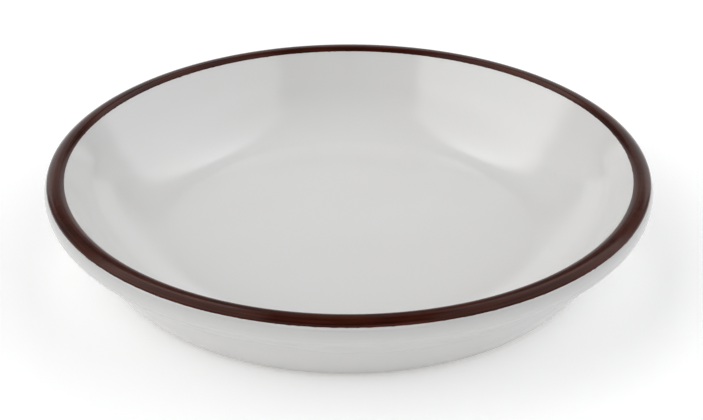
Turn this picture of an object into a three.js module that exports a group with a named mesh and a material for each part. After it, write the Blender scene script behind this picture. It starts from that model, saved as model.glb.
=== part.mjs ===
// A shallow round sauce dish with a rolled lip and a dark edge band, in millimetres, +Z up.
// The origin is the centre of the foot ring, on the plane that the dish stands on.
//
// The dish is one fired clay body of revolution. White glaze covers it inside and out, in two
// separate coats, because the ring that it stands on is wiped bare before firing: one coat runs
// from the foot over the lip to the middle of the well, the other lines the recess underneath.
// The brown band is painted round the lip on top of the glaze.
//
// Every piece is turned from the same section. A section is a row of stations, each a point on
// the surface with its outward normal, so a coat is the surface moved along those normals.
import * as THREE from "three";

// The glazed dish
const RIM_DIAMETER = 101.6; // across the widest part of the lip
const DISH_HEIGHT = 15.95; // from the table to the glazed top of the lip

// The rolled lip
const LIP_WIDTH = 3.0; // from the inside of the lip to its widest part, corner to corner
const LIP_FACE_HEIGHT = 4.2; // upright outer face, corner to corner
const LIP_CROWN_RADIUS = 2.0; // between the top and the outer face
const LIP_BELLY_RADIUS = 3.2; // between the outer face and the underside
const LIP_INSIDE_RADIUS = 1.15; // between the top and the well

// The outer wall, from the neck under the lip down to the foot
const NECK_DIAMETER = 92.6; // where the lip's underside meets the wall
const NECK_DROP = 6.25; // below the top of the lip
const NECK_RADIUS = 1.4; // cove in that corner
const KNEE_DIAMETER = 86.6; // where the wall bends in towards the foot
const KNEE_HEIGHT = 3.3; // above the table
const KNEE_RADIUS = 19;
const FOOT_DIAMETER = 79.2; // where the line of the wall meets the table

// The well
const WELL_DEPTH = 11.85; // from the top of the lip to the floor
const WELL_CORNER_DIAMETER = 80; // where the line of the inside wall meets the floor
const WELL_HEEL_RADIUS = 17; // broad curve in that corner

// The foot ring and the recess inside it
const FOOT_RING_WIDTH = 4.4; // on the table, corner to corner
const FOOT_EDGE_RADIUS = 0.5; // both edges of the ring
const RECESS_HEIGHT = 1.6; // from the table to the glazed underside
const RECESS_DRAFT = 1.2; // how far the ring's inner side leans in over that height
const RECESS_RADIUS = 1.2; // between the ring's inner side and the underside

// The coats
const GLAZE_THICKNESS = 0.25;
const GLAZE_LINE = 0.6; // height above the table where the glaze stops
const BAND_THICKNESS = 0.15;
const BAND_OUTER_DROP = 0.8; // lower edge of the band on the outside, below the top of the lip
const BAND_INNER_DROP = 0.5; // edge of the band on the inside, below the top of the lip

// Facets
const TURNS = 48; // flats round the dish
const CHORD_ERROR = 0.04; // largest gap between a curve of the section and its flats

const RIM_RADIUS = RIM_DIAMETER / 2;
const FOOT_RADIUS = FOOT_DIAMETER / 2;
const FLOOR_HEIGHT = DISH_HEIGHT - WELL_DEPTH;

const corner = (radius, height, rounding = 0) => ({
  at: new THREE.Vector2(radius, height),
  rounding,
});

// Sections are walked with the clay on the left, so the outward side is the right.
const rightOf = (heading) => new THREE.Vector2(heading.y, -heading.x);

// The stations of a row of corners joined by straight runs, with each inner corner rounded.
// Two roundings that meet on a run too short for both share it.
function roundedSection(corners) {
  const runs = corners.slice(1).map(({ at }, i) => at.clone().sub(corners[i].at));
  const headings = runs.map((run) => run.clone().normalize());
  const turns = headings.slice(1).map((after, i) => {
    const before = headings[i];
    return Math.atan2(before.cross(after), before.dot(after));
  });
  const setbacks = corners.map(({ rounding }, i) =>
    rounding ? rounding * Math.tan(Math.abs(turns[i - 1]) / 2) : 0,
  );
  const room = runs.map((run, i) => run.length() / (setbacks[i] + setbacks[i + 1]));

  const stations = [{ at: corners[0].at, normal: rightOf(headings[0]) }];
  turns.forEach((turn, i) => {
    const share = Math.min(1, room[i], room[i + 1]);
    const radius = corners[i + 1].rounding * share;
    const side = Math.sign(turn);
    const startNormal = rightOf(headings[i]);
    const centre = corners[i + 1].at
      .clone()
      .addScaledVector(headings[i], -setbacks[i + 1] * share)
      .addScaledVector(startNormal, -side * radius);
    const largestStep = 2 * Math.acos(1 - CHORD_ERROR / radius);
    const steps = Math.ceil(Math.abs(turn) / largestStep);
    for (let step = 0; step <= steps; step++) {
      const normal = startNormal.clone().rotateAround(new THREE.Vector2(), (turn * step) / steps);
      stations.push({ at: centre.clone().addScaledVector(normal, side * radius), normal });
    }
  });
  stations.push({ at: corners.at(-1).at, normal: rightOf(headings.at(-1)) });
  return stations;
}

const pointsOf = (section) => section.map(({ at }) => at);

// The points of a section moved out along its normals.
const raised = (section, distance) =>
  section.map(({ at, normal }) => at.clone().addScaledVector(normal, distance));

// The point at a given height on the line through two corners.
const pointAtHeight = (a, b, height) =>
  a.at.clone().lerp(b.at, (height - a.at.y) / (b.at.y - a.at.y));

// Adds a station to the lip, the given drop below its highest station, and returns it.
// It walks down from there along the section: step -1 is outwards, step 1 is into the well.
function markLip(section, drop, step) {
  const highest = Math.max(...section.map(({ at }) => at.y));
  const height = highest - drop;
  let index = section.findIndex(({ at }) => at.y === highest);
  while (section[index + step].at.y > height) index += step;
  const [above, below] = [section[index], section[index + step]];
  const share = (above.at.y - height) / (above.at.y - below.at.y);
  const mark = {
    at: above.at.clone().lerp(below.at, share),
    normal: above.normal.clone().lerp(below.normal, share).normalize(),
  };
  section.splice(Math.max(index, index + step), 0, mark);
  return mark;
}

// The glazed outside: wall, lip and well, from the glaze line to the middle of the floor.
function outsideSection() {
  const foot = corner(FOOT_RADIUS, 0);
  const knee = corner(KNEE_DIAMETER / 2, KNEE_HEIGHT, KNEE_RADIUS);
  return roundedSection([
    { at: pointAtHeight(foot, knee, GLAZE_LINE) },
    knee,
    corner(NECK_DIAMETER / 2, DISH_HEIGHT - NECK_DROP, NECK_RADIUS),
    corner(RIM_RADIUS, DISH_HEIGHT - LIP_FACE_HEIGHT, LIP_BELLY_RADIUS),
    corner(RIM_RADIUS, DISH_HEIGHT, LIP_CROWN_RADIUS),
    corner(RIM_RADIUS - LIP_WIDTH, DISH_HEIGHT, LIP_INSIDE_RADIUS),
    corner(WELL_CORNER_DIAMETER / 2, FLOOR_HEIGHT, WELL_HEEL_RADIUS),
    corner(0, FLOOR_HEIGHT),
  ]);
}

// The glazed recess under the dish, from the middle to the glaze line on the ring's inner side.
function undersideSection() {
  const ringInside = corner(FOOT_RADIUS - FOOT_RING_WIDTH, 0);
  const ceiling = corner(ringInside.at.x - RECESS_DRAFT, RECESS_HEIGHT, RECESS_RADIUS);
  const glazeEdge = { at: pointAtHeight(ringInside, ceiling, GLAZE_LINE) };
  return roundedSection([corner(0, RECESS_HEIGHT), ceiling, glazeEdge]);
}

// The bare foot: past its glaze line, each side of the ring runs on to the table.
function footSection(innerEdge, outerEdge) {
  const [innerClay, outerClay] = raised([innerEdge, outerEdge], -GLAZE_THICKNESS);
  const onTable = (clay, normal) => clay.x + (clay.y * normal.y) / normal.x;
  const ring = roundedSection([
    { at: innerClay },
    corner(onTable(innerClay, innerEdge.normal), 0, FOOT_EDGE_RADIUS),
    corner(onTable(outerClay, outerEdge.normal), 0, FOOT_EDGE_RADIUS),
    { at: outerClay },
  ]);
  return ring.slice(1, -1);
}

const outside = outsideSection();
const underside = undersideSection();
const foot = footSection(underside.at(-1), outside[0]);

// The band's edges become stations of the outside, so that the band lies flush on the glaze.
const bandOuterEdge = markLip(outside, BAND_OUTER_DROP, -1);
const bandInnerEdge = markLip(outside, BAND_INNER_DROP, 1);

const clayOutside = raised(outside, -GLAZE_THICKNESS);
const clayUnderside = raised(underside, -GLAZE_THICKNESS);

// A piece turned about the dish's axis from its section, stood up along +Z.
function turnedPiece(name, section, finish) {
  const geometry = new THREE.LatheGeometry(section, TURNS);
  geometry.rotateX(Math.PI / 2);
  const mesh = new THREE.Mesh(geometry, new THREE.MeshStandardMaterial(finish));
  mesh.name = name;
  return mesh;
}

const BARE_CLAY = { color: 0xd9d0c0, roughness: 0.85, metalness: 0 };
const WHITE_GLAZE = { color: 0xe6e5e1, roughness: 0.12, metalness: 0 };
const BROWN_BAND = { color: 0x4a2417, roughness: 0.25, metalness: 0 };

function clayBody() {
  const section = [...clayUnderside, ...pointsOf(foot), ...clayOutside];
  return turnedPiece("clay_body", section, BARE_CLAY);
}

function glazeCoat() {
  const section = [...clayOutside.toReversed(), ...pointsOf(outside)];
  return turnedPiece("glaze_coat", section, WHITE_GLAZE);
}

function undersideGlaze() {
  const section = [...pointsOf(underside), ...clayUnderside.toReversed()];
  return turnedPiece("underside_glaze", section, WHITE_GLAZE);
}

// The band feathers out to nothing at both edges, as a brushed line does.
function rimBand() {
  const painted = outside.slice(outside.indexOf(bandOuterEdge), outside.indexOf(bandInnerEdge) + 1);
  const paint = raised(painted.slice(1, -1), BAND_THICKNESS);
  const section = [bandOuterEdge.at, ...paint, ...pointsOf(painted).toReversed()];
  return turnedPiece("rim_band", section, BROWN_BAND);
}

const dish = new THREE.Group();
dish.name = "sauce_dish";
dish.add(clayBody(), glazeCoat(), undersideGlaze(), rimBand());

export default dish;
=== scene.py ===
# %% [markdown]
# # A glazed sauce dish with a brown edge band
#
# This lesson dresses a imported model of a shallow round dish. The model has four pieces: the clay
# body, the white glaze over it, the glaze in the recess underneath and the brown band round the
# lip. Its flats are coarse, so each piece is turned again here with a fine section, as a potter
# would turn it on the wheel, and gets the finish of the fired ware.

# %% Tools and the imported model
import math
from collections import namedtuple

import bpy
from mathutils import Matrix, Vector


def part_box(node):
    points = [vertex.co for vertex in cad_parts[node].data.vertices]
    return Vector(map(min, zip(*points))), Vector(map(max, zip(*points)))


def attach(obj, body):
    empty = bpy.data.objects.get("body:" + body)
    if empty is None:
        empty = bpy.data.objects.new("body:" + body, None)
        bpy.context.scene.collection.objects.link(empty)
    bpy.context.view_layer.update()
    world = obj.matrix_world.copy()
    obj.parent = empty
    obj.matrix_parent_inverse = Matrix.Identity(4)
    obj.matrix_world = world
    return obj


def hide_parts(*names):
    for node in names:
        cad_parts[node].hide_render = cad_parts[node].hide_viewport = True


MM = 0.001


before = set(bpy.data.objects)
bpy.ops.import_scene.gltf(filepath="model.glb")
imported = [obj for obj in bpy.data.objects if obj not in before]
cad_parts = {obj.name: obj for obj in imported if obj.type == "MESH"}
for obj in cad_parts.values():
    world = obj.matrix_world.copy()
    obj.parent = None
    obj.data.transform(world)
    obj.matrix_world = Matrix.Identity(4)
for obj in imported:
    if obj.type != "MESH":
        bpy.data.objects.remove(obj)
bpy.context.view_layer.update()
print("packed nodes:", sorted(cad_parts))

# %% [markdown]
# ## The section of the dish
#
# A turned dish is drawn once, as half of its cut-through outline. The overall sizes come from the
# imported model, so the fine pieces can't drift from it. The roundings and widths that a box can't
# give are named here, in metres. A corner is written as its radius from the middle, its height
# above the table and the rounding that the finger or the profile tool leaves on it.

# %% Sizes of the section
glaze_low, glaze_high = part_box("glaze_coat")
clay_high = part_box("clay_body")[1]
recess_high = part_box("underside_glaze")[1]
band_low, band_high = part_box("rim_band")

RIM_RADIUS = glaze_high.x
LIP_TOP = glaze_high.z
GLAZE_LINE = glaze_low.z
GLAZE_THICKNESS = LIP_TOP - clay_high.z
RECESS_CEILING = recess_high.z - GLAZE_THICKNESS

LIP_WIDTH = 3.0 * MM
LIP_FACE = 4.2 * MM
CROWN_ROUNDING = 2.0 * MM
BELLY_ROUNDING = 3.2 * MM
LIP_INSIDE_ROUNDING = 1.15 * MM

NECK_RADIUS = 46.3 * MM
NECK_HEIGHT = LIP_TOP - 6.25 * MM
NECK_ROUNDING = 1.4 * MM
KNEE_RADIUS = 43.3 * MM
KNEE_HEIGHT = 3.3 * MM
KNEE_ROUNDING = 19 * MM
FOOT_RADIUS = 39.6 * MM

WELL_FLOOR = LIP_TOP - 11.85 * MM
WELL_CORNER_RADIUS = 40 * MM
HEEL_ROUNDING = 17 * MM

FOOT_RING_WIDTH = 4.4 * MM
FOOT_ROUNDING = 0.5 * MM
RECESS_DRAFT = 1.2 * MM
RECESS_ROUNDING = 1.2 * MM
BEAD_ROUNDING = 0.11 * MM

print("rim radius and height in mm:", round(RIM_RADIUS / MM, 2), round(LIP_TOP / MM, 2))
print("glaze thickness in mm:", round(GLAZE_THICKNESS / MM, 3))

# %% [markdown]
# ## Corners, and a coat beside them
#
# Glaze follows the clay at an even thickness, so the clay under it is the same row of corners
# moved sideways. A straight run moves by the thickness, a corner moves to where the two moved runs
# meet, and its rounding grows on one side and shrinks on the other. The row runs from the middle
# of the well outwards, with the open air on its left.

# %% Corners and moved rows
Corner = namedtuple("Corner", "at rounding")


def corner(radius, height, rounding=0.0):
    return Corner(Vector((radius, height)), rounding)


def headings_of(row):
    return [(b.at - a.at).normalized() for a, b in zip(row, row[1:])]


def left_of(heading):
    return Vector((-heading.y, heading.x))


def turn_between(before, after):
    """The signed angle between two headings, positive to the left."""
    cross = before.x * after.y - before.y * after.x
    return math.atan2(cross, before.dot(after))


def moved_left(row, distance):
    """The row of corners moved to its left, with every rounding kept concentric."""
    headings = headings_of(row)
    moved = [Corner(row[0].at + left_of(headings[0]) * distance, row[0].rounding)]
    for here, before, after in zip(row[1:], headings, headings[1:]):
        mitre = (left_of(before) + left_of(after)) / (1 + before.dot(after))
        side = math.copysign(1, turn_between(before, after))
        rounding = here.rounding - side * distance if here.rounding else 0.0
        moved.append(Corner(here.at + mitre * distance, rounding))
    moved.append(Corner(row[-1].at + left_of(headings[-1]) * distance, row[-1].rounding))
    return moved


def at_height(a, b, height, rounding=0.0):
    """The corner at a given height on the line through two corners."""
    share = (height - a.at.y) / (b.at.y - a.at.y)
    return Corner(a.at.lerp(b.at, share), rounding)


# %% The glazed outside, from the middle of the well to the table
outside = [
    corner(0, WELL_FLOOR),
    corner(WELL_CORNER_RADIUS, WELL_FLOOR, HEEL_ROUNDING),
    corner(RIM_RADIUS - LIP_WIDTH, LIP_TOP, LIP_INSIDE_ROUNDING),
    corner(RIM_RADIUS, LIP_TOP, CROWN_ROUNDING),
    corner(RIM_RADIUS, LIP_TOP - LIP_FACE, BELLY_ROUNDING),
    corner(NECK_RADIUS, NECK_HEIGHT, NECK_ROUNDING),
    corner(KNEE_RADIUS, KNEE_HEIGHT, KNEE_ROUNDING),
    corner(FOOT_RADIUS, 0),
]
clay_outside = moved_left(outside, -GLAZE_THICKNESS)
print("corners of the glazed outside:", len(outside))

# %% The glazed recess, from its middle to the table
ring_inside = FOOT_RADIUS - FOOT_RING_WIDTH
recess = [
    corner(0, RECESS_CEILING),
    corner(ring_inside - RECESS_DRAFT, RECESS_CEILING, RECESS_ROUNDING),
    corner(ring_inside, 0),
]
clay_recess = moved_left(recess, GLAZE_THICKNESS)
print("recess ceiling in mm:", round(RECESS_CEILING / MM, 2))

# %% [markdown]
# ## A pen that draws sections
#
# By hand, a section is drawn from a single vertex: extrude it along the straight runs, spin it
# round the middle of each rounding. A curve object would also do, but extruded and spun points
# stay exact arcs, and the same two tools then turn the section into the dish. A short guard run
# beside each arc keeps the smooth shading of the arc from leaking into the straight run. Where a
# run is short, each guard takes a third of it.

# %% The pen
ARC_STEP = math.radians(3)
FEWEST_ARC_STEPS = 2
GUARD = 0.25 * MM
PARTS_OF_SHORT_RUN = 3
CLOSE_ENOUGH = 0.001 * MM


class Pen:
    """Draws one section in edit mode, in the plane y = 0, with x as radius and z as height."""

    def __init__(self, name, start):
        bpy.ops.object.select_all(action="DESELECT")
        bpy.ops.mesh.primitive_plane_add(size=MM)
        self.piece = bpy.context.object
        self.piece.name = name
        bpy.ops.object.mode_set(mode="EDIT")
        bpy.ops.mesh.merge(type="CENTER")
        bpy.ops.transform.translate(value=(start.x, 0, start.y))
        self.at = start

    def line(self, end):
        step = end - self.at
        if step.length > CLOSE_ENOUGH:
            move = {"value": (step.x, 0, step.y)}
            bpy.ops.mesh.extrude_region_move(TRANSFORM_OT_translate=move)
            self.at = end

    def arc(self, centre, turn):
        steps = max(FEWEST_ARC_STEPS, round(abs(turn) / ARC_STEP))
        middle = (centre.x, 0, centre.y)
        bpy.ops.mesh.spin(steps=steps, angle=turn, center=middle, axis=(0, 1, 0))
        self.at = centre + Matrix.Rotation(turn, 2) @ (self.at - centre)

    def rounded(self, row):
        """Draws a row of corners from its first corner, where the pen already is, to its last."""
        headings = headings_of(row)
        turns = [turn_between(before, after) for before, after in zip(headings, headings[1:])]
        roundings = [here.rounding for here in row[1:-1]]
        setbacks = [0, *(r * math.tan(abs(t) / 2) for r, t in zip(roundings, turns)), 0]
        guards = []
        for here, there, used_here, used_there in zip(row, row[1:], setbacks, setbacks[1:]):
            free = (there.at - here.at).length - used_here - used_there
            guards.append(min(GUARD, free / PARTS_OF_SHORT_RUN))
        for i, (rounding, turn) in enumerate(zip(roundings, turns)):
            before, after = headings[i], headings[i + 1]
            start = row[i + 1].at - before * setbacks[i + 1]
            if rounding:
                self.line(start - before * guards[i])
                self.line(start)
                self.arc(start + left_of(before) * math.copysign(rounding, turn), turn)
                self.line(self.at + after * guards[i + 1])
            else:
                self.line(start)
        self.line(row[-1].at)


print("the pen's arc step in degrees:", round(math.degrees(ARC_STEP), 1))

# %% [markdown]
# ## The wheel
#
# Spinning a whole section round the upright axis is the potter's wheel. A section that starts and
# ends on the axis leaves a fan of doubled points at each pole, and a closed ring doubles its seam,
# so the doubles are merged before the normals are turned outwards. Shading is smooth except at
# real edges.

# %% Turning a section into a piece
TURNS = 240
SHARP_EDGE = math.radians(40)


def turned(pen):
    """Spins the pen's section once round the dish's axis and returns the closed piece."""
    bpy.ops.mesh.select_all(action="SELECT")
    bpy.ops.mesh.remove_doubles(threshold=CLOSE_ENOUGH)
    bpy.ops.mesh.spin(steps=TURNS, angle=math.tau, center=(0, 0, 0), axis=(0, 0, 1))
    bpy.ops.mesh.select_all(action="SELECT")
    bpy.ops.mesh.remove_doubles(threshold=CLOSE_ENOUGH)
    bpy.ops.mesh.normals_make_consistent(inside=False)
    bpy.ops.mesh.select_all(action="DESELECT")
    bpy.ops.mesh.select_non_manifold()
    bpy.ops.object.mode_set(mode="OBJECT")
    bpy.ops.object.shade_smooth_by_angle(angle=SHARP_EDGE)
    mesh = pen.piece.data
    open_points = sum(v.select for v in mesh.vertices)
    print(pen.piece.name, "faces:", len(mesh.polygons), "open points:", open_points)
    return pen.piece


def turned_from(name, row):
    pen = Pen(name, row[0].at)
    pen.rounded(row)
    return turned(pen)


# %% [markdown]
# ## The clay body
#
# The clay is the whole dish inside its glaze: lip, wall, floor and foot ring. Most of it is
# covered, but the ring that the dish stands on is wiped bare before firing, so that the glaze
# doesn't stick to the kiln shelf. Its section joins the clay side of the outside to the clay side
# of the recess through the two rounded edges of that ring.

# %% Clay body
clay_row = [
    *clay_outside[:-1],
    at_height(*clay_outside[-2:], 0, FOOT_ROUNDING),
    at_height(*clay_recess[-2:], 0, FOOT_ROUNDING),
    *clay_recess[-2::-1],
]
clay_piece = turned_from("fired_clay", clay_row)

# %% [markdown]
# ## The two coats of white glaze
#
# A coat is drawn out along its open side and back along the clay. It stops at the glaze line, a
# little above the table, where melted glaze pulls back into a small rounded bead.


# %% Glaze coats
def coat_row(open_side, clay_side):
    """The closed row of a coat: out along the open side, round the bead, back along the clay."""
    edge = at_height(*open_side[-2:], GLAZE_LINE, BEAD_ROUNDING)
    foot = at_height(*clay_side[-2:], edge.at.y)
    return [*open_side[:-1], edge, foot, *clay_side[-2::-1]]


glaze_piece = turned_from("white_glaze", coat_row(outside, clay_outside))
recess_piece = turned_from("recess_glaze", coat_row(recess, clay_recess))

# %% [markdown]
# ## The brown band
#
# The band is painted on the lip with a loaded brush while the dish turns. The paint stands a
# little proud of the glaze and thins out to nothing at both edges. It lies on two roundings of the
# lip, so its section is drawn directly: out along the paint, back along the glaze. A place on a
# rounding is named by its angle, counted from straight outwards up to upright and on into the well.

# %% Roundings of the lip
BAND_INNER_EDGE = LIP_TOP - 0.5 * MM
BAND_OUTER_EDGE = band_low.z
BAND_THICKNESS = band_high.z - LIP_TOP
BAND_FEATHER = math.radians(7)
UPRIGHT = math.pi / 2

well_lean = headings_of(outside)[1]
inside_setback = LIP_INSIDE_ROUNDING * math.tan(turn_between(Vector((1, 0)), well_lean) / 2)
inside_middle = Vector((
    RIM_RADIUS - LIP_WIDTH + inside_setback,
    LIP_TOP - LIP_INSIDE_ROUNDING,
))
crown_middle = Vector((RIM_RADIUS - CROWN_ROUNDING, LIP_TOP - CROWN_ROUNDING))
inner_angle = math.pi - math.asin((BAND_INNER_EDGE - inside_middle.y) / LIP_INSIDE_ROUNDING)
outer_angle = math.asin((BAND_OUTER_EDGE - crown_middle.y) / CROWN_ROUNDING)
print("band edges in degrees:", round(math.degrees(inner_angle)), round(math.degrees(outer_angle)))


# %% Band
def on_rounding(middle, rounding, angle):
    return middle + rounding * Vector((math.cos(angle), math.sin(angle)))


inside_paint = LIP_INSIDE_ROUNDING + BAND_THICKNESS
crown_paint = CROWN_ROUNDING + BAND_THICKNESS
paint_start = inner_angle - BAND_FEATHER
paint_end = outer_angle + BAND_FEATHER

pen = Pen("painted_band", on_rounding(inside_middle, LIP_INSIDE_ROUNDING, inner_angle))
pen.line(on_rounding(inside_middle, inside_paint, paint_start))
pen.arc(inside_middle, UPRIGHT - paint_start)
pen.line(on_rounding(crown_middle, crown_paint, UPRIGHT))
pen.arc(crown_middle, paint_end - UPRIGHT)
pen.line(on_rounding(crown_middle, CROWN_ROUNDING, outer_angle))
pen.arc(crown_middle, UPRIGHT - outer_angle)
pen.line(on_rounding(inside_middle, LIP_INSIDE_ROUNDING, UPRIGHT))
pen.arc(inside_middle, inner_angle - UPRIGHT)
band_piece = turned(pen)

# %% [markdown]
# ## Helpers for finishes
#
# A finish is a small network of nodes. These helpers add a node, set the inputs that stay the
# same and link the ones that change over the surface, so each finish reads as a short recipe.


# %% Node helpers
def put(tree, kind, **settings):
    """Adds a node and sets its properties."""
    node = tree.nodes.new("ShaderNode" + kind)
    for name, value in settings.items():
        setattr(node, name, value)
    return node


def feed(tree, socket, source):
    """Links a socket to another node's output, or sets it to a plain value."""
    if isinstance(source, bpy.types.NodeSocket):
        tree.links.new(source, socket)
    else:
        socket.default_value = source


def wired(tree, kind, *sources, **settings):
    """Adds a node and feeds its inputs in their order."""
    node = put(tree, kind, **settings)
    for socket, source in zip(node.inputs, sources):
        feed(tree, socket, source)
    return node


# %% Recipes with one node
MIX_FACTOR, MIX_FIRST, MIX_SECOND, MIX_RESULT = 0, 6, 7, 2


def maths(tree, operation, *terms):
    return wired(tree, "Math", *terms, operation=operation).outputs[0]


def spread(tree, value, low, high, to_low=0.0, to_high=1.0):
    """Maps a value from one range to another, smoothly and without overshoot."""
    ranges = (low, high, to_low, to_high)
    return wired(tree, "MapRange", value, *ranges, interpolation_type="SMOOTHSTEP").outputs[0]


def parts_of(tree, vector):
    """The x, y and z of a vector."""
    return wired(tree, "SeparateXYZ", vector).outputs


def mixed(tree, factor, first, second):
    """A colour between two colours."""
    node = put(tree, "Mix", data_type="RGBA")
    for index, source in ((MIX_FACTOR, factor), (MIX_FIRST, first), (MIX_SECOND, second)):
        feed(tree, node.inputs[index], source)
    return node.outputs[MIX_RESULT]


def bumped(tree, height, distance):
    """A normal tilted by a height between 0 and 1 that stands for the given distance."""
    node = put(tree, "Bump")
    feed(tree, node.inputs["Height"], height)
    feed(tree, node.inputs["Distance"], distance)
    return node.outputs["Normal"]


def rgb(red, green, blue):
    return (red, green, blue, 1.0)


# %% [markdown]
# ## Effects that the finishes share
#
# Everything on this dish was made while it turned, so brush lines, sponge lines and the marks of
# the profile tool all run round it. One group makes such lines: noise that is stretched round the
# axis and fine across it. A second group is plain grain, for clay, for the skin of the glaze and
# for uneven colour. Both are built once and placed in each finish with their own sizes.


# %% Group with lines round the axis
LINE_DETAIL = 3.0


def new_group(name, inputs, outputs):
    """An empty group with named inputs and outputs, and its two end nodes."""
    group = bpy.data.node_groups.new(name, "ShaderNodeTree")
    for labels, side in ((inputs, "INPUT"), (outputs, "OUTPUT")):
        for label in labels:
            group.interface.new_socket(label, in_out=side, socket_type="NodeSocketFloat")
    return group, group.nodes.new("NodeGroupInput"), group.nodes.new("NodeGroupOutput")


def from_axis(tree, x, y):
    """The distance from the dish's axis."""
    squares = (maths(tree, "MULTIPLY", part, part) for part in (x, y))
    return maths(tree, "SQRT", maths(tree, "ADD", *squares))


def turning_lines_group():
    group, given, result = new_group("turning_lines", ("Lines per metre", "Breaks"), ("Lines",))
    fineness, breaks = given.outputs["Lines per metre"], given.outputs["Breaks"]
    x, y, z = parts_of(group, put(group, "TexCoord").outputs["Object"])
    radius = from_axis(group, x, y)
    around = put(group, "CombineXYZ")
    for socket, part in zip(around.inputs, (x, y)):
        share = maths(group, "DIVIDE", part, maths(group, "MAXIMUM", radius, MM))
        feed(group, socket, maths(group, "MULTIPLY", share, breaks))
    feed(group, around.inputs[2], maths(group, "MULTIPLY", radius, fineness))
    noise = put(group, "TexNoise", noise_dimensions="4D")
    feed(group, noise.inputs["Vector"], around.outputs[0])
    feed(group, noise.inputs["W"], maths(group, "MULTIPLY", z, fineness))
    feed(group, noise.inputs["Scale"], 1.0)
    feed(group, noise.inputs["Detail"], LINE_DETAIL)
    feed(group, result.inputs["Lines"], noise.outputs[0])
    return group


# %% Group with plain grain
def grain_group():
    group, given, result = new_group("grain", ("Grains per metre", "Depth"), ("Grain",))
    noise = put(group, "TexNoise")
    feed(group, noise.inputs["Vector"], put(group, "TexCoord").outputs["Object"])
    feed(group, noise.inputs["Scale"], given.outputs["Grains per metre"])
    feed(group, noise.inputs["Detail"], given.outputs["Depth"])
    feed(group, result.inputs["Grain"], noise.outputs[0])
    return group


turning_lines = turning_lines_group()
grain = grain_group()
print("shared effects:", turning_lines.name, grain.name)

# %% [markdown]
# ## What each finish starts from
#
# A finish has one shader. What is the same all over the piece is set on the shader itself, and the
# rest comes from the shared effects. Most of a noise lies between 0.3 and 0.7, so that is the range
# that roughness is spread over.

# %% Placing the groups
NOISE_RANGE = (0.3, 0.7)
TONE_RANGE = (0.35, 0.65)


def placed(tree, group, sizes):
    """A shared effect with its own sizes: how many per metre, then its breaks or its depth."""
    node = put(tree, "Group", node_tree=group)
    for socket, size in zip(node.inputs, sizes):
        socket.default_value = size
    return node.outputs[0]


def new_finish(name, **plain):
    """A material with one Principled shader, its unchanging inputs set on the shader itself."""
    material = bpy.data.materials.new(name)
    material.use_nodes = True
    shader = material.node_tree.nodes["Principled BSDF"]
    for label, value in plain.items():
        shader.inputs[label.replace("_", " ")].default_value = value
    return material, material.node_tree, shader


def report_finish(material):
    print(material.name, "nodes:", len(material.node_tree.nodes))


# %% [markdown]
# ## White glaze
#
# The fired glaze is a clear glassy skin over white ware: almost even in colour, very slightly warm
# where it pools, smooth but not a perfect mirror. Its colour also holds painted light: the outside
# of the lip just under the band is painted greyer, as painted shade, and surfaces that face down
# below the lip are painted whiter, as painted light from below. Under the lip, where it hardly
# flows, it is satin. A faint skin of grain and even fainter turning lines soften the edges of the
# reflections. Along the band a thin wash of brown has crept past the brush line, so the band's
# edges aren't ruled. The masks for all this come from the height, the distance from the axis and
# the way the surface faces, because the dish is the same all round.

# %% Places on the glaze
LIP_MIDDLE = RIM_RADIUS - LIP_WIDTH / 2
WALL_FACING = (-0.3, 0.0)
SHELTERED_FACING = (-0.6, -0.2)
# How far below the band the painted shade reaches on the outside of the lip.
PAINTED_SHADE_REACH = 3.2 * MM
BAND_CREEP = 0.10 * MM
CREEP_START, CREEP_FULL, CREEP_SWING = 0.8 * BAND_CREEP, 1.2 * BAND_CREEP, 2 * BAND_CREEP
CREEP_GRAIN = (900.0, 2.0)


def places_on_glaze(tree):
    """Masks: painted light from below, satin, painted shade under the band, brown creep."""
    place = put(tree, "TexCoord")
    x, y, height = parts_of(tree, place.outputs["Object"])
    facing = parts_of(tree, place.outputs["Normal"])[2]
    below_lip = spread(tree, height, NECK_HEIGHT, LIP_TOP - LIP_FACE, 1.0, 0.0)
    on_wall = spread(tree, facing, *WALL_FACING, 1.0, 0.0)
    # Painted light: surfaces facing down below the lip are painted whiter, as if lit from below.
    painted_light_from_below = maths(tree, "MULTIPLY", below_lip, on_wall)
    near_neck = spread(tree, height, KNEE_HEIGHT, NECK_HEIGHT)
    from_below = spread(tree, facing, *SHELTERED_FACING, 1.0, 0.0)
    sheltered = maths(tree, "MULTIPLY", near_neck, from_below)

    outer_side = maths(tree, "GREATER_THAN", from_axis(tree, x, y), LIP_MIDDLE)
    band_edge = spread(tree, outer_side, 0.0, 1.0, BAND_INNER_EDGE, BAND_OUTER_EDGE)
    over_edge = maths(tree, "SUBTRACT", height, band_edge)
    near_band = spread(tree, over_edge, -PAINTED_SHADE_REACH, 0.0)
    # Painted shade: the outside of the lip is painted greyer just under the band.
    painted_shade_under_band = maths(tree, "MULTIPLY", outer_side, near_band)
    ragged = placed(tree, grain, CREEP_GRAIN)
    reach = maths(tree, "MULTIPLY_ADD", ragged, CREEP_SWING, over_edge)
    creep = spread(tree, reach, CREEP_START, CREEP_FULL)
    return painted_light_from_below, sheltered, painted_shade_under_band, creep


# %% White glaze finish
GLAZE_IOR = 1.62
GLAZE_WHITE = rgb(0.745, 0.74, 0.73)
GLAZE_POOLED = rgb(0.735, 0.728, 0.712)
# Painted light from below: a whiter glaze colour for the down-facing wall under the lip.
GLAZE_PAINTED_LIGHT = rgb(0.785, 0.78, 0.768)
# Painted shade: a greyer glaze colour just under the band on the outside of the lip.
GLAZE_PAINTED_SHADE = rgb(0.60, 0.60, 0.59)
BAND_BROWN = rgb(0.056, 0.0128, 0.007)
POOLS = (55.0, 2.0)
POOL_RANGE = (0.35, 0.7)
GLAZE_ROUGHNESS = (0.09, 0.13)
SHELTERED_SATIN = 0.35
GLAZE_SKIN = (420.0, 1.0)
GLAZE_LINES = (350.0, 2.0)
GLAZE_LINE_SHARE = 0.4
GLAZE_RELIEF = 0.004 * MM


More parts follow.
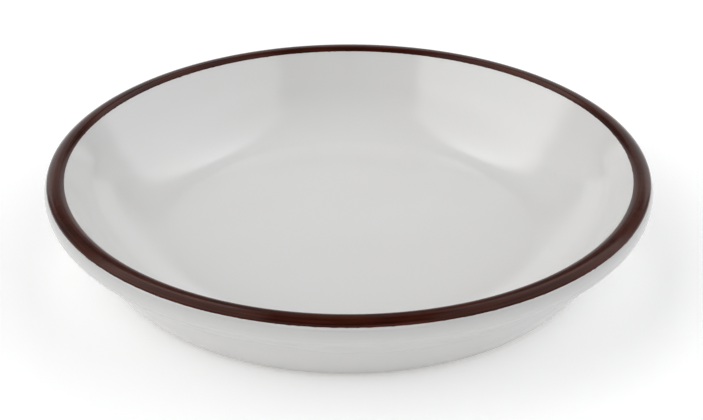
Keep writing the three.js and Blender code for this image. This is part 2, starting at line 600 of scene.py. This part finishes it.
def white_glaze_finish():
    material, tree, shader = new_finish("white_glaze_finish", IOR=GLAZE_IOR)
    painted_light_from_below, sheltered, painted_shade_under_band, creep = places_on_glaze(tree)
    pools = placed(tree, grain, POOLS)
    colour = mixed(tree, spread(tree, pools, *POOL_RANGE), GLAZE_WHITE, GLAZE_POOLED)
    # The first two mixes are painted light from below and painted shade under the band; the brown
    # creep is real paint.
    for mask, other in ((painted_light_from_below, GLAZE_PAINTED_LIGHT), (painted_shade_under_band, GLAZE_PAINTED_SHADE), (creep, BAND_BROWN)):
        colour = mixed(tree, mask, colour, other)
    feed(tree, shader.inputs["Base Color"], colour)

    polish = spread(tree, pools, *NOISE_RANGE, *GLAZE_ROUGHNESS)
    roughness = maths(tree, "MULTIPLY_ADD", sheltered, SHELTERED_SATIN, polish)
    feed(tree, shader.inputs["Roughness"], roughness)

    lines = placed(tree, turning_lines, GLAZE_LINES)
    skin = placed(tree, grain, GLAZE_SKIN)
    relief = maths(tree, "MULTIPLY_ADD", lines, GLAZE_LINE_SHARE, skin)
    feed(tree, shader.inputs["Normal"], bumped(tree, relief, GLAZE_RELIEF))
    return material


white_glaze = white_glaze_finish()
report_finish(white_glaze)

# %% [markdown]
# ## Brown band
#
# The band is dark red-brown and fired glossy. The brush leaves long lines round the lip, a little
# thinner and redder in places, and nearly black where the paint pooled.

# %% Brown band finish
BAND_IOR = 1.30
BAND_SHEEN = rgb(1.0, 0.7, 0.63)
BAND_DEEP = rgb(0.022, 0.0045, 0.0028)
BRUSH_LINES = (2600.0, 3.0)
BRUSH_LINE_SHARE = 0.6
BRUSH_PATCHES = (500.0, 6.0)
BRUSH_PATCH_SHARE = 0.4
BAND_SKIN = (700.0, 2.0)
BAND_ROUGHNESS = (0.12, 0.18)
BAND_LINE_SHARE = 0.7
BAND_RELIEF = 0.006 * MM


def brown_band_finish():
    plain = {"IOR": BAND_IOR, "Specular_Tint": BAND_SHEEN}
    material, tree, shader = new_finish("brown_band_finish", **plain)
    lines = placed(tree, turning_lines, BRUSH_LINES)
    patches = placed(tree, turning_lines, BRUSH_PATCHES)
    patch_tone = maths(tree, "MULTIPLY", patches, BRUSH_PATCH_SHARE)
    tone = maths(tree, "MULTIPLY_ADD", lines, BRUSH_LINE_SHARE, patch_tone)
    brown = mixed(tree, spread(tree, tone, *TONE_RANGE), BAND_DEEP, BAND_BROWN)
    feed(tree, shader.inputs["Base Color"], brown)

    skin = placed(tree, grain, BAND_SKIN)
    roughness = spread(tree, skin, *NOISE_RANGE, *BAND_ROUGHNESS)
    feed(tree, shader.inputs["Roughness"], roughness)
    relief = maths(tree, "MULTIPLY_ADD", lines, BAND_LINE_SHARE, skin)
    feed(tree, shader.inputs["Normal"], bumped(tree, relief, BAND_RELIEF))
    return material


brown_band = brown_band_finish()
report_finish(brown_band)

# %% [markdown]
# ## Bare clay
#
# The unglazed ring is biscuit: warm off-white, matte and a little gritty, with sponge lines from
# the wiping. The flat that touches the table has grey scuffs from use.

# %% Bare clay finish
CLAY_IOR = 1.45
CLAY_PALE = rgb(0.70, 0.64, 0.54)
CLAY_DARK = rgb(0.58, 0.50, 0.40)
CLAY_GRIT = (2600.0, 4.0)
CLAY_GRIT_SHARE = 0.5
SPONGE_LINES = (1800.0, 4.0)
SPONGE_LINE_SHARE = 0.5
SCUFF_GREY = rgb(0.50, 0.47, 0.42)
SCUFF_HEIGHT = 0.12 * MM
SCUFF_PATCHES = (160.0, 3.0)
SCUFF_RANGE = (0.45, 0.75)
CLAY_ROUGHNESS = (0.75, 0.95)
CLAY_RELIEF = 0.03 * MM


def bare_clay_finish():
    material, tree, shader = new_finish("bare_clay_finish", IOR=CLAY_IOR)
    grit = placed(tree, grain, CLAY_GRIT)
    lines = placed(tree, turning_lines, SPONGE_LINES)
    line_tone = maths(tree, "MULTIPLY", lines, SPONGE_LINE_SHARE)
    tone = maths(tree, "MULTIPLY_ADD", grit, CLAY_GRIT_SHARE, line_tone)
    clay = mixed(tree, spread(tree, tone, *TONE_RANGE), CLAY_DARK, CLAY_PALE)

    height = parts_of(tree, put(tree, "TexCoord").outputs["Object"])[2]
    on_table = spread(tree, height, 0.0, SCUFF_HEIGHT, 1.0, 0.0)
    patches = spread(tree, placed(tree, grain, SCUFF_PATCHES), *SCUFF_RANGE)
    scuffed = maths(tree, "MULTIPLY", on_table, patches)
    feed(tree, shader.inputs["Base Color"], mixed(tree, scuffed, clay, SCUFF_GREY))

    roughness = spread(tree, grit, *NOISE_RANGE, *CLAY_ROUGHNESS)
    feed(tree, shader.inputs["Roughness"], roughness)
    feed(tree, shader.inputs["Normal"], bumped(tree, tone, CLAY_RELIEF))
    return material


bare_clay = bare_clay_finish()
report_finish(bare_clay)

# %% [markdown]
# ## Fastening the fine pieces to the model
#
# The dish has no moving parts, so every piece rides on the one body. Each stands for the packed
# node of the same layer, which is hidden. Both coats of glaze wear the same finish.

# %% Finishes, riding and replacing
layers = (
    (clay_piece, bare_clay, "clay_body", "bare_clay"),
    (glaze_piece, white_glaze, "glaze_coat", "white_glaze"),
    (recess_piece, white_glaze, "underside_glaze", "white_glaze"),
    (band_piece, brown_band, "rim_band", "brown_band"),
)
for piece, material, node, slot in layers:
    piece.data.materials.clear()
    piece.data.materials.append(material)
    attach(piece, "root")
    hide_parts(node)
    print(piece.name, "stands for", node, "and wears", material.name)

# %% [markdown]
# ## Camera
#
# The dish is seen from a little above, with a long lens that hardly tapers it. The distance, the
# height and the lens were worked out from the ellipses of the rim and the foot.

# %% Camera
EYE = Vector((0.46, -315.9, 179.5)) * MM
AIM = Vector((0.46, 0.0, 7.43)) * MM
LENS = 108.61
SENSOR = 36.0

bpy.ops.object.camera_add(location=EYE)
camera = bpy.context.object
camera.name = "camera"
camera.data.lens = LENS
camera.data.sensor_width = SENSOR
camera.rotation_euler = (AIM - EYE).to_track_quat("-Z", "Y").to_euler()
bpy.context.scene.camera = camera
print("camera distance in mm:", round((AIM - EYE).length / MM, 1))

# %% [markdown]
# ## Floor
#
# The floor is a pale sheet. Seen by the camera or in a reflection it glows to white, with enough
# of its own shading left that the dish keeps its shadow. To the light that bounces about it is
# plain pale paint. It lies a hair below the foot ring, so that no two faces share a plane.

# %% Floor sheet
FLOOR_RADIUS = 3.0
FLOOR_SIDES = 64
FLOOR_DROP = 0.02 * MM

bpy.ops.object.select_all(action="DESELECT")
bpy.ops.mesh.primitive_circle_add(
    vertices=FLOOR_SIDES,
    radius=FLOOR_RADIUS,
    fill_type="NGON",
    location=(0, 0, -FLOOR_DROP),
)
floor = bpy.context.object
floor.name = "floor"
print("floor radius in m:", FLOOR_RADIUS)

# %% Floor finish
FLOOR_PAINT = rgb(0.94, 0.94, 0.94)
FLOOR_SHADED = rgb(0.76, 0.76, 0.76)
FLOOR_GLOW = 0.34


def seen_directly(tree):
    """1 for what the camera sees, straight or in a reflection or through glass, else 0."""
    path = put(tree, "LightPath")
    seen = maths(tree, "MAXIMUM", path.outputs["Is Camera Ray"], path.outputs["Is Glossy Ray"])
    return maths(tree, "MAXIMUM", seen, path.outputs["Is Transmission Ray"])


def added(tree, first, second):
    """The light of two shaders together."""
    return wired(tree, "AddShader", first, second).outputs[0]


def floor_finish():
    material = bpy.data.materials.new("floor_finish")
    material.use_nodes = True
    tree = material.node_tree
    tree.nodes.clear()
    paint = wired(tree, "BsdfDiffuse", FLOOR_PAINT).outputs[0]
    shaded = wired(tree, "BsdfDiffuse", FLOOR_SHADED).outputs[0]
    glow = put(tree, "Emission")
    feed(tree, glow.inputs["Strength"], FLOOR_GLOW)
    bright = added(tree, shaded, glow.outputs[0])
    choice = wired(tree, "MixShader", seen_directly(tree), paint, bright)
    wired(tree, "OutputMaterial", choice.outputs[0])
    return material


floor.data.materials.append(floor_finish())
report_finish(floor.data.materials[0])

# %% [markdown]
# ## Light
#
# The dish stands in a light tent. Two side walls glow and lean in over it, up to a dark gap
# overhead. A pale board stands low at the back, some daylight comes in through the opening at the
# front, and the rest of the room is dim. The glaze shows all of it: the bright patches high in the
# well are the walls, the strip between them is the gap and the pale streaks near the front are the
# board. Area lamps would do for smaller lights, but walls this large are easier to draw straight
# into the world. A direction is named by the point where it meets a ceiling one metre up: so far
# across, and so far towards the back.

# %% Directions in the tent
LOWEST = 0.02

world = bpy.data.worlds.new("light_tent")
bpy.context.scene.world = world
world.use_nodes = True
tent = world.node_tree
tent.nodes.clear()

x, y, z = parts_of(tent, put(tent, "TexCoord").outputs["Generated"])
ceiling = maths(tent, "MAXIMUM", z, LOWEST)
aside = maths(tent, "ABSOLUTE", x)
across = maths(tent, "DIVIDE", aside, ceiling)
backwards = maths(tent, "DIVIDE", y, ceiling)
on_right = maths(tent, "GREATER_THAN", x, 0.0)
on_front = maths(tent, "LESS_THAN", y, 0.0)
print("world:", world.name)


# %% Masks in the tent
def opposite(mask):
    return maths(tent, "SUBTRACT", 1.0, mask)


def all_of(first, *others):
    for other in others:
        first = maths(tent, "MULTIPLY", first, other)
    return first


def soft_step(value, middle, blur, before, after):
    """Goes softly from one share to another while the value passes a middle."""
    return spread(tent, value, middle - blur, middle + blur, before, after)


def above(low, high):
    """0 below one elevation and 1 above another, both in degrees."""
    return spread(tent, z, math.sin(math.radians(low)), math.sin(math.radians(high)))


def between(start, full, fading, end):
    """1 between two elevations, else 0. Each edge runs softly between two angles in degrees."""
    return all_of(above(start, full), opposite(above(fading, end)))


# %% [markdown]
# ### The two walls
#
# The gap overhead is wider towards the front and narrower towards the back. Each wall ends at the
# back along an edge of two parts, one straight across and one slanting, and is dark at its foot.

# %% Side walls
GAP = 0.25
GAP_FLARE = 0.40
GAP_TAPER = 0.125
GAP_EDGE = (-0.015, 0.035)
WALL_FOOT = (10, 14)
WALL_SOFTNESS = 0.13

BackEdge = namedtuple("BackEdge", "reach corner_reach slant")
RIGHT_EDGE = BackEdge(reach=1.12, corner_reach=0.67, slant=0.345)
LEFT_EDGE = BackEdge(reach=0.62, corner_reach=1.15, slant=-0.5)

flare, taper = (maths(tent, "MULTIPLY", backwards, rate) for rate in (GAP_FLARE, GAP_TAPER))
narrowing = maths(tent, "MINIMUM", flare, taper)
past_gap = maths(tent, "SUBTRACT", maths(tent, "ADD", across, narrowing), GAP)
beside_gap = spread(tent, past_gap, *GAP_EDGE)


def wall(side, back):
    """A wall on one side, up to its back edge, which grows softer further out."""
    slanted = maths(tent, "MULTIPLY_ADD", across, back.slant, back.corner_reach)
    edge = maths(tent, "MAXIMUM", slanted, back.reach)
    beyond = maths(tent, "SUBTRACT", backwards, edge)
    past = maths(tent, "DIVIDE", beyond, maths(tent, "MAXIMUM", across, 1.0))
    in_reach = soft_step(past, 0.0, WALL_SOFTNESS, 1.0, 0.0)
    return all_of(side, beside_gap, in_reach, above(*WALL_FOOT))


right_wall = wall(on_right, RIGHT_EDGE)
left_wall = wall(opposite(on_right), LEFT_EDGE)
print("reach of the walls to the back:", RIGHT_EDGE.reach, LEFT_EDGE.reach)

# %% [markdown]
# ### The board at the back
#
# The board and a strip just above it glow, the board more strongly, and a faint haze hangs higher
# up. Towards the corners the board gets brighter and the strip dimmer. The white of the horizon is
# only seen, straight or in a reflection, so the board stops where it begins.

# %% Board
HORIZON = (5, 8)
BOARD_SIDE = 0.8
BOARD_SIDE_BLUR = 0.04
BOARD_CORNERS = (0.25, 0.6)
BOARD_TOP = 2.09
BOARD_TOP_BLUR = 0.05
BOARD_SHARE = 0.45
BOARD_CORNER_GAIN = 0.9
STRIP = (BOARD_TOP - 0.4, BOARD_TOP - 0.2)
STRIP_SHARE = 0.55
STRIP_CORNER_GAIN = -0.5
HAZE_TOP = (0.4, 1.1)
HAZE_SHARE = 0.25
HAZE_FOOT = (1.35, 1.65)
HAZE_LEFT = 0.4

slope = maths(tent, "DIVIDE", aside, maths(tent, "MAXIMUM", y, LOWEST))
at_back = soft_step(slope, BOARD_SIDE, BOARD_SIDE_BLUR, 1.0, 0.0)
to_corners = spread(tent, slope, *BOARD_CORNERS)


def with_corners(light, gain):
    """A light along the board, changed by a gain towards the board's corners."""
    return all_of(light, maths(tent, "MULTIPLY_ADD", to_corners, gain, 1.0))


below_top = soft_step(backwards, BOARD_TOP, BOARD_TOP_BLUR, 0.0, BOARD_SHARE)
strip = spread(tent, backwards, *STRIP, 0.0, STRIP_SHARE)
haze = all_of(spread(tent, backwards, *HAZE_TOP, 0.0, HAZE_SHARE),
              spread(tent, backwards, *HAZE_FOOT, 1.0, HAZE_LEFT))
board_light = haze
for light, gain in ((strip, STRIP_CORNER_GAIN), (below_top, BOARD_CORNER_GAIN)):
    board_light = maths(tent, "ADD", board_light, with_corners(light, gain))
board = all_of(at_back, board_light, above(*HORIZON))
print("top of the board in degrees:", round(math.degrees(math.atan(1 / BOARD_TOP))))

# %% Opening at the front, dim room and white horizon
OPENING = (18, 24, 31, 37)
ROOM = (6, 14, 42, 58)

opening = all_of(on_front, opposite(beside_gap), between(*OPENING))
outside_walls = opposite(maths(tent, "MAXIMUM", right_wall, left_wall))
room = all_of(outside_walls, opposite(at_back), between(*ROOM))
horizon = all_of(seen_directly(tent), opposite(above(*HORIZON)))
print("opening and room, up to degrees:", OPENING[-1], ROOM[-1])

# %% [markdown]
# ### Adding up the tent
#
# The walls are dim in front of the dish and less bright high up. The right wall is faintly cool,
# all the rest is white. The strengths are set so that the glaze comes out about as it is written.
# The horizon's strength of 1 is plain white.

# %% Adding up the tent
WALL_FRONT = -1.25
WALL_FRONT_BLUR = 0.1
FRONT_SHARE = 0.2
UPPER_WALL = (0.7, 0.95)
UPPER_SHARE = 0.62
COOL_LIGHT = rgb(0.97, 0.98, 1.0)
PLAIN_LIGHT = rgb(1.0, 1.0, 1.0)
RIGHT_GLOW = 1.54
LEFT_GLOW = 2.15
BOARD_GLOW = 0.8
OPENING_GLOW = 1.6
ROOM_GLOW = 0.42
HORIZON_GLOW = 1.0

front_share = soft_step(backwards, WALL_FRONT, WALL_FRONT_BLUR, FRONT_SHARE, 1.0)
upper_share = spread(tent, z, *UPPER_WALL, 1.0, UPPER_SHARE)
wall_shares = all_of(front_share, upper_share)


def glow_of(mask, strength, colour=PLAIN_LIGHT):
    return wired(tent, "Background", colour, all_of(mask, strength)).outputs[0]


tent_light = glow_of(all_of(right_wall, wall_shares), RIGHT_GLOW, COOL_LIGHT)
for mask, strength in (
    (all_of(left_wall, wall_shares), LEFT_GLOW),
    (board, BOARD_GLOW),
    (opening, OPENING_GLOW),
    (room, ROOM_GLOW),
    (horizon, HORIZON_GLOW),
):
    tent_light = added(tent, tent_light, glow_of(mask, strength))
wired(tent, "OutputWorld", tent_light)
bpy.context.scene.view_settings.view_transform = "Standard"
print("lights in the tent: two walls, a board, an opening, the room and the horizon")
